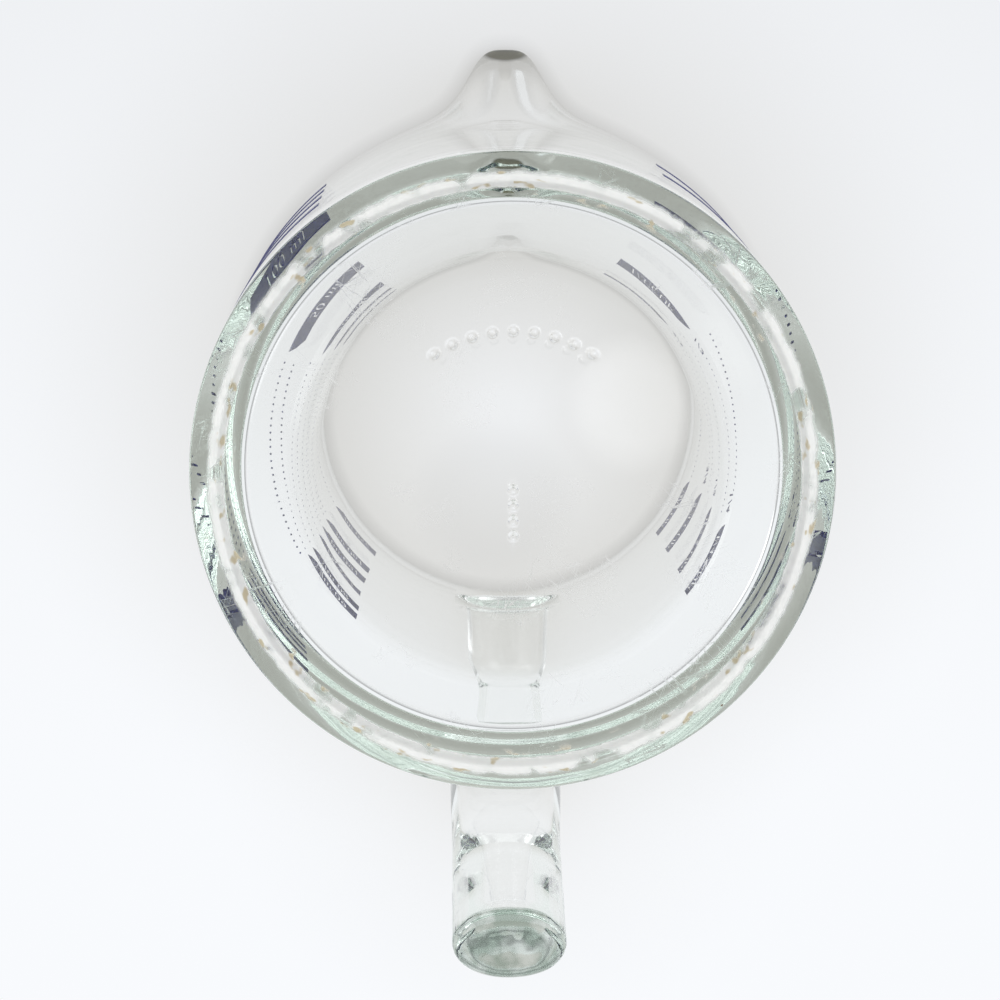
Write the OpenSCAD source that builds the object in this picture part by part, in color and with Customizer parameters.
// Pressed-glass measuring cup, one cup or 250 ml, with a drawn lip and an open handle.
// The cup stands upright on its foot ring. The origin is on its axis, at the resting plane.
// The handle points along +X and the spout along -X.

/* [Bowl] */
// Height from the resting plane to the top of the rim
cup_h = 88; // [84:1:96]
// Outer radius of the wall at the rim
rim_r = 43.2; // [42:0.2:46]
// Outer radius of the wall where it leaves the heel
heel_r = 37.2; // [36.4:0.2:39.4]
// Thickness of the wall, measured level
wall_t = 5.6; // [4:0.1:6]
// Radius of the inside corner between the wall and the shoulder under it
corner_r = 2.4; // [1.6:0.2:4]
// Slope of the shoulder between the floor and the corner, in degrees
shoulder_angle = 28; // [23:1:33]
// Radius of the bend from the floor up to the shoulder
shoulder_r = 14; // [10:1:18]

/* [Foot] */
// Height of the floor's lowest point, in the middle, above the resting plane
floor_t = 4.8; // [3.6:0.1:6]
// Radius of the shallow bowl that the plunger presses into the floor
floor_bowl_r = 110; // [100:5:140]
// Radius of the shallow bowl's edge, measured from the axis
floor_r = 22.8; // [20:0.2:24]
// Height of the heel, the low bevel between the resting ring and the wall
heel_h = 1.7; // [1.5:0.1:3]
// Radius of the heel's gentle outward curve
heel_curve_r = 28; // [20:1:50]
// Radius of the rounding where the heel meets the wall
heel_round = 0.6; // [0.2:0.1:0.8]
// Radius of the rounding where the heel meets the resting ring
ring_round = 0.5; // [0.3:0.1:1]
// Outer radius of the ring that the cup rests on
ring_r = 34.6; // [33.8:0.2:35.2]
// Width of the resting ring
ring_w = 0.6; // [0.5:0.1:1.2]
// Depth of the recess inside the resting ring
recess_h = 1.1; // [0.8:0.1:1.6]
// Width of the slope from the resting ring up to the recess
recess_slope_w = 1; // [0.4:0.1:2]
// Radius of the circle that the small raised pips under the floor lie on
pip_circle_r = 17; // [8:1:20]
// Angle round the axis from one pip to the next
pip_step = 8; // [6:1:14]
// Diameter of a raised pip
pip_d = 1.3; // [0.8:0.1:1.6]
// How far a pip stands out of the recess
pip_h = 0.4; // [0.2:0.1:0.6]
// Number of pips in the row under the spout
spout_pips = 9; // [1:1:12]
// Number of pips in the straight row from the middle toward the handle
handle_pips = 4; // [1:1:6]
// Distance from the axis to the first pip of the straight row
straight_row_start = 1.2; // [0:0.2:3]
// Distance from one pip of the straight row to the next
straight_row_step = 1.8; // [1.8:0.1:2.4]

/* [Spout] */
// Distance from the axis to the end of the lip
spout_reach = 53.8; // [50:0.2:56]
// Distance from the rim down to where the spout begins
spout_drop = 38; // [28:1:44]
// Half the width of the beak where it is drawn out half way
beak_half_w = 6.4; // [5:0.1:8]
// Half the width of the wall that the spout is drawn from
spout_half_w = 20; // [17:0.5:24]
// How much narrower the channel is than the beak, on each side
channel_inset = 2.6; // [2:0.1:3.2]
// Distance from the channel's middle over which its bottom is rounded
channel_round = 1.5; // [0.5:0.1:3]

/* [Handle] */
// Distance from the axis to the outside of the handle
handle_reach = 72.6; // [68:0.2:80]
// Distance from the rim down to the top of the handle
handle_drop = 3; // [3:0.5:10]
// Height of the handle's free end above the resting plane
handle_end_z = 27; // [15:1:40]
// Thickness of the handle, from its inside to its outside
handle_t = 9.8; // [8:0.1:11]
// Width of the handle where it leaves the wall
handle_root_w = 18.6; // [14:0.2:22]
// Width of the handle at its free end
handle_end_w = 15.6; // [12:0.2:18]
// Radius of the handle's bend along its middle
handle_bend_r = 14; // [9:0.5:16]
// Height of the rounding at the handle's free end
handle_end_round = 2.4; // [1:0.1:4]

/* [Printed scale] */
// Thickness of the fired-on enamel
enamel_t = 0.15; // [0.1:0.05:0.3]
// Height of a printed tag
tag_h = 3.3; // [2:0.1:4]
// Length of a tag beside the handle
handle_tag_w = 14; // [11:0.5:17]
// Length of a tag beside the spout
spout_tag_w = 18; // [14:0.5:20]
// Length of a tag's pointed end
tag_point_w = 2.4; // [1:0.1:4]
// Angle from the handle to the middle of the tags beside it
handle_tag_angle = 53; // [45:1:60]
// Angle from the handle to the middle of the tags beside the spout
spout_tag_angle = 129; // [120:1:134]
// Angle by which the cup side's print is turned toward the spout
cup_side_turn = 8; // [0:1:10]
// Diameter of a printed dot
dot_d = 0.7; // [0.4:0.1:1]
// Distance between the middles of two dots
dot_pitch = 1.8; // [1.4:0.1:3]
// Clear distance between a tag and its first dot
dot_gap = 1.2; // [0.8:0.1:3]
// Contents of one cup in millilitres
cup_ml = 250; // [230:5:260]

/* [Hidden] */

glass_tint = [0.78, 0.88, 0.83, 0.5];
enamel_blue = [0.14, 0.16, 0.36];
ARC_STEPS = 12;
ROUND_FN = 144;
SMALL_FN = 24;
EPS = 0.01;
MM3_PER_ML = 1000;

// Shape of the outside and the inside of the wall, as radius at a height
wall_slope = (rim_r - heel_r) / (cup_h - heel_h);
function wall_r(z) = heel_r + wall_slope * (z - heel_h);
function inner_r(z) = wall_r(z) - wall_t;
function arc(r, z, rr, rz, a0, a1, n = ARC_STEPS) =
    [for (i = [0:n]) let (a = a0 + (a1 - a0) * i / n) [r + rr * cos(a), z + rz * sin(a)]];

rim_round = wall_t / 2;
rim_z = cup_h - rim_round;
rim_curve = arc(wall_r(rim_z) - rim_round, rim_z, rim_round, rim_round, 0, 180);

// The floor's shallow bowl, and the bend that carries it on up to the shoulder
bowl_middle_z = floor_t + floor_bowl_r;
floor_angle = asin(floor_r / floor_bowl_r);
floor_edge_z = bowl_middle_z - floor_bowl_r * cos(floor_angle);
bend_r = floor_r - shoulder_r * sin(floor_angle);
bend_z = floor_edge_z + shoulder_r * cos(floor_angle);
floor_curve = arc(0, bowl_middle_z, floor_bowl_r, floor_bowl_r, floor_angle - 90, -90);
bend_curve = arc(bend_r, bend_z, shoulder_r, shoulder_r, shoulder_angle - 90, floor_angle - 90);

// The shoulder is a cone, and the corner's arc touches both it and the leaning wall
wall_lean = atan(wall_slope);
level_part = cos(shoulder_angle);
rise_part = sin(shoulder_angle);
shoulder_from = [bend_r + shoulder_r * rise_part, bend_z - shoulder_r * level_part];
corner_room = inner_r(shoulder_from[1] + corner_r * level_part) - corner_r / cos(wall_lean)
    - shoulder_from[0] + corner_r * rise_part;
shoulder_w = corner_room / (level_part - wall_slope * rise_part);
corner_x = shoulder_from[0] + shoulder_w * level_part - corner_r * rise_part;
corner_z = shoulder_from[1] + shoulder_w * rise_part + corner_r * level_part;
corner_curve = arc(corner_x, corner_z, corner_r, corner_r, -wall_lean, shoulder_angle - 90);
wall_foot_z = corner_z - corner_r * sin(wall_lean);

// The heel curves gently outward along its chord, and is rounded off into the ring and the wall
ring_in = ring_r - ring_w;
heel_chord = norm([heel_r - ring_r, heel_h]);
heel_slope = atan(heel_h / (heel_r - ring_r));
heel_half = asin(heel_chord / 2 / heel_curve_r);
heel_far = heel_curve_r * cos(heel_half);
heel_x = (ring_r + heel_r) / 2 - heel_far * sin(heel_slope);
heel_z = heel_h / 2 + heel_far * cos(heel_slope);
heel_from = heel_slope - heel_half;
heel_to = heel_slope + heel_half;
// Length that a rounding takes from each of the two lines it joins, and that length along the heel
function trim(turn, r) = r * tan(turn / 2);
function heel_share(length) = length / heel_curve_r * 180 / PI;
function rounded(p, a0, a1, r) = let (t = trim(a1 - a0, r))
    arc(p[0] - t * cos(a0) - r * sin(a0), p[1] - t * sin(a0) + r * cos(a0), r, r, a0 - 90, a1 - 90);
wall_heading = 90 - wall_lean;
heel_profile = concat(
    rounded([ring_r, 0], 0, heel_from, ring_round),
    arc(heel_x, heel_z, heel_curve_r, heel_curve_r,
        heel_from - 90 + heel_share(trim(heel_from, ring_round)),
        heel_to - 90 - heel_share(trim(wall_heading - heel_to, heel_round))),
    rounded([heel_r, heel_h], heel_to, wall_heading, heel_round));
// Where the foot meets the bowl's wall, at the height of the floor's edge
seam = [wall_r(floor_edge_z), floor_edge_z];

// Height of the surface for a volume of liquid: the rounded bottom is summed in slices,
// and the rest is a cone
bottom_curve = concat(corner_curve, bend_curve, floor_curve);
function slice(p, q) = PI / 3 * (p[0] * p[0] + p[0] * q[0] + q[0] * q[0]) * (p[1] - q[1]);
function sum(list, i = 0) = i < len(list) ? list[i] + sum(list, i + 1) : 0;
bottom_volume = sum([for (i = [1:len(bottom_curve) - 1]) slice(bottom_curve[i - 1], bottom_curve[i])]);
function level(ml) =
    let (r0 = inner_r(wall_foot_z), r = pow(pow(r0, 3)
        + 3 * wall_slope * (ml * MM3_PER_ML - bottom_volume) / PI, 1 / 3))
    wall_foot_z + (r - r0) / wall_slope;

// Triangles that fill a ring of m points in strips, from its first point to the opposite one
function ring_fill(m) = let (h = floor(m / 2)) concat(
    [for (j = [0:h - 2]) each [[j, j + 1, m - 2 - j], [j, m - 2 - j, m - 1 - j]]],
    m % 2 == 1 ? [[h - 1, h, h + 1]] : []);

// One closed skin over a row of rings that have the same number of points
module loft(rings) {
    m = len(rings[0]);
    last = len(rings) - 1;
    sides = [for (i = [0:last - 1], j = [0:m - 1]) let (k = (j + 1) % m)
        each [[i * m + j, i * m + k, (i + 1) * m + k], [i * m + j, (i + 1) * m + k, (i + 1) * m + j]]];
    start = [for (f = ring_fill(m)) [f[2], f[1], f[0]]];
    end = [for (f = ring_fill(m)) [for (j = f) last * m + j]];
    polyhedron(points = [for (ring = rings) each ring], faces = concat(sides, start, end));
}

// Base disc with the bevelled heel, the ring that it stands on and the shallow recess
module foot() {
    under = [[0, recess_h], [ring_in - recess_slope_w, recess_h], [ring_in, 0]];
    color(glass_tint) rotate_extrude($fn = ROUND_FN)
        polygon(concat(under, heel_profile, [seam], floor_curve));
}

// Tapered wall from the heel to the rounded rim, without the part that the spout is drawn from
module bowl_wall() {
    color(glass_tint) difference() {
        rotate_extrude($fn = ROUND_FN) polygon(concat([seam], rim_curve, corner_curve, bend_curve));
        spout_wedge();
    }
}

spout_span = asin(spout_half_w / rim_r);
spout_z = cup_h - spout_drop;

// Block with its edge on the axis that takes the spout's part out of the wall
module spout_wedge() {
    far = spout_reach + rim_r;
    translate([0, 0, spout_z]) linear_extrude(spout_drop + wall_t)
        polygon([[0, 0], [-far * cos(spout_span), far * sin(spout_span)],
            [-far * cos(spout_span), -far * sin(spout_span)]]);
}

BEAK_POWER = 4;
FLARE_POWER = 1.8;
SPOUT_COLUMNS = 36;
SPOUT_ROWS = 14;
// Share of the reach at a distance from the spout's middle: a flat beak with hollow flanks
function bell(y) = 1 / (1 + pow(y / beak_half_w, BEAK_POWER));
function drawn(y) = y >= spout_half_w ? 0 : bell(y) - bell(spout_half_w) * pow(y / spout_half_w, 2);
function flare(z) = pow(max(0, z - spout_z) / (cup_h - spout_z), FLARE_POWER);

// Wall's section above the spout's start, from the outside over the rim to the inside
row_z = [for (i = [0:SPOUT_ROWS - 1]) spout_z + (rim_z - spout_z) * i / SPOUT_ROWS];
spout_section = concat([for (z = row_z) [wall_r(z), z]], rim_curve,
    [for (i = [SPOUT_ROWS - 1:-1:0]) [inner_r(row_z[i]), row_z[i]]]);

// Distance from the spout's middle as a layer of the wall sees it: an inner layer, which has a
// larger share of the wall's thickness outside it, sees a narrower spout with a round bottom
function layer_side(y, depth) =
    norm([y, channel_round * depth]) + (channel_inset - channel_round) * depth;

// The wall drawn out into a pouring lip
module pouring_spout() {
    rings = [for (i = [-SPOUT_COLUMNS / 2:SPOUT_COLUMNS / 2])
        let (u = 2 * i / SPOUT_COLUMNS, a = spout_span * u * sqrt(abs(u)), y = rim_r * sin(abs(a)))
        [for (p = spout_section)
            let (depth = (wall_r(p[1]) - p[0]) / wall_t,
                pull = (spout_reach - rim_r) * drawn(layer_side(y, depth)) * flare(p[1]))
            [-p[0] * cos(a) - pull, p[0] * sin(a), p[1]]]];
    color(glass_tint) loft(rings);
}

HANDLE_SIDES = 28;
ROOT_CORNER = 0.72;
END_CORNER = 0.95;
ARM_STEPS = 5;
LEG_STEPS = 6;
TIP_STEPS = 4;
// Heading of the handle's leg: the arm's heading is 0
DOWN = -90;
handle_leg_x = handle_reach - handle_t / 2;
handle_arm_z = cup_h - handle_drop - handle_t / 2;
handle_root_x = inner_r(handle_arm_z) + wall_t / 2;
handle_run = handle_leg_x - handle_bend_r - handle_root_x;
handle_leg_top = handle_arm_z - handle_bend_r;

// Stations along the handle: place along X, height, direction, and share of the way
arm_stations = [for (i = [0:ARM_STEPS - 1]) [handle_root_x + handle_run * i / ARM_STEPS, handle_arm_z, 0]];
bend_stations = [for (i = [0:ARC_STEPS]) let (turn = DOWN * i / ARC_STEPS, r = handle_bend_r)
    [handle_leg_x - r - r * sin(turn), handle_leg_top + r * cos(turn), turn]];
handle_leg_end = handle_end_z + handle_end_round;
handle_leg = handle_leg_top - handle_leg_end;
leg_stations = [for (i = [1:LEG_STEPS]) [handle_leg_x, handle_leg_top - handle_leg * i / LEG_STEPS, DOWN]];
stations = concat(arm_stations, bend_stations, leg_stations);

// Ring of the handle at a station, square to its direction: a soft rectangle, or nearly an oval
// where corner is close to 1
function handle_ring(s, w, t, corner) = [for (j = [0:HANDLE_SIDES - 1])
    let (a = -360 * j / HANDLE_SIDES,
        side = w / 2 * sign(cos(a)) * pow(abs(cos(a)), corner),
        out = t / 2 * sign(sin(a)) * pow(abs(sin(a)), corner))
    [s[0] - out * sin(s[2]), side, s[1] + out * cos(s[2])]];

// Open handle: it leaves the wall under the rim, bends down and ends free
module handle() {
    n = len(stations) - 1;
    body = [for (i = [0:n])
        handle_ring(stations[i], handle_root_w + (handle_end_w - handle_root_w) * i / n, handle_t,
            ROOT_CORNER + (END_CORNER - ROOT_CORNER) * i / n)];
    tip = [for (i = [1:TIP_STEPS]) let (a = 90 * i / TIP_STEPS, trim = 2 * handle_end_round * (1 - cos(a)))
        handle_ring([handle_leg_x, handle_leg_end - handle_end_round * sin(a), DOWN],
            handle_end_w - trim, handle_t - trim, END_CORNER)];
    color(glass_tint) difference() {
        loft(concat(body, tip));
        wall_cone(heel_h, cup_h);
    }
}

// One pip under the floor, at a distance from the axis toward an angle
module pip(r, angle) {
    rotate(angle) translate([r, 0, recess_h - pip_h])
        cylinder(h = pip_h, d = pip_d, $fn = SMALL_FN);
}

// Small raised pips that the mould leaves in the recess: a curved row and a short straight one
module base_pips() {
    color(glass_tint) {
        for (i = [0:spout_pips - 1])
            mirror([1, 0, 0]) pip(pip_circle_r, pip_step * (i - (spout_pips - 1) / 2));
        for (i = [0:handle_pips - 1])
            pip(straight_row_start + straight_row_step * i, 0);
    }
}

// Solid cone along the outside of the wall, or along the outside of an enamel skin on it
module wall_cone(low, high, skin = 0) {
    translate([0, 0, low])
        cylinder(h = high - low, r1 = wall_r(low) + skin, r2 = wall_r(high) + skin, $fn = ROUND_FN);
}

// Band of enamel all round the wall, which a tag is cut from
module enamel_band(z) {
    difference() {
        wall_cone(z - tag_h, z + tag_h, enamel_t);
        wall_cone(z - tag_h - EPS, z + tag_h + EPS);
    }
}

// Printed tag that stands on its level line, with one square end and one pointed end
module tag(z, angle, w, toward) {
    intersection() {
        enamel_band(z);
        rotate(angle) translate([wall_r(z) / 2, 0, z]) rotate([90, 0, 90]) linear_extrude(wall_r(z))
            polygon([for (p = [[-w / 2, 0], [w / 2, 0], [w / 2 - tag_point_w, tag_h], [-w / 2, tag_h]])
                [toward * p[0], p[1]]]);
    }
}

// Angle round the axis that a length along the wall spans at a height
function degrees(length, z) = length / wall_r(z) * 180 / PI;

// Row of printed dots at a level, between the tags beside the handle and those beside the spout
module dots(z) {
    first = handle_tag_angle + degrees(handle_tag_w / 2 + dot_gap, z);
    last = spout_tag_angle - degrees(spout_tag_w / 2 + dot_gap, z);
    step = degrees(dot_pitch, z);
    for (i = [0:floor((last - first) / step)])
        rotate(first + step * i) translate([wall_r(z), 0, z]) rotate([0, 90 + wall_lean, 0])
            cylinder(h = enamel_t, d = dot_d, $fn = SMALL_FN);
}

// Mark with its tag beside the handle and its dots running toward the spout
module handle_side_mark(z) {
    tag(z, handle_tag_angle, handle_tag_w, 1);
    dots(z);
}

// Mark with its tag beside the spout and its dots running toward the handle
module spout_side_mark(z) {
    tag(z, spout_tag_angle, spout_tag_w, -1);
    dots(z);
}

// Carries print from the millilitre side over to the cup side
module cup_side() { mirror([0, 1, 0]) rotate(cup_side_turn) children(); }

// Millilitre marks are on the +Y side and cup marks on the -Y side
module ml_mark_by_handle(ml) { color(enamel_blue) handle_side_mark(level(ml)); }
module ml_mark_by_spout(ml) { color(enamel_blue) spout_side_mark(level(ml)); }
module cup_mark_by_handle(cups) {
    color(enamel_blue) cup_side() handle_side_mark(level(cups * cup_ml));
}
module cup_mark_by_spout(cups) {
    color(enamel_blue) cup_side() spout_side_mark(level(cups * cup_ml));
}

foot();
bowl_wall();
pouring_spout();
handle();
base_pips();
ml_mark_by_handle(60);  // mark_60_ml
ml_mark_by_handle(80);  // mark_80_ml
ml_mark_by_handle(125);  // mark_125_ml
ml_mark_by_handle(160);  // mark_160_ml
ml_mark_by_handle(190);  // mark_190_ml
ml_mark_by_handle(250);  // mark_250_ml
ml_mark_by_spout(50);  // mark_50_ml
ml_mark_by_spout(100);  // mark_100_ml
ml_mark_by_spout(150);  // mark_150_ml
ml_mark_by_spout(200);  // mark_200_ml
cup_mark_by_handle(1 / 4);  // mark_quarter_cup
cup_mark_by_spout(1 / 3);  // mark_third_cup
cup_mark_by_handle(1 / 2);  // mark_half_cup
cup_mark_by_spout(2 / 3);  // mark_two_thirds_cup
cup_mark_by_handle(3 / 4);  // mark_three_quarter_cup
cup_mark_by_handle(1);  // mark_full_cup
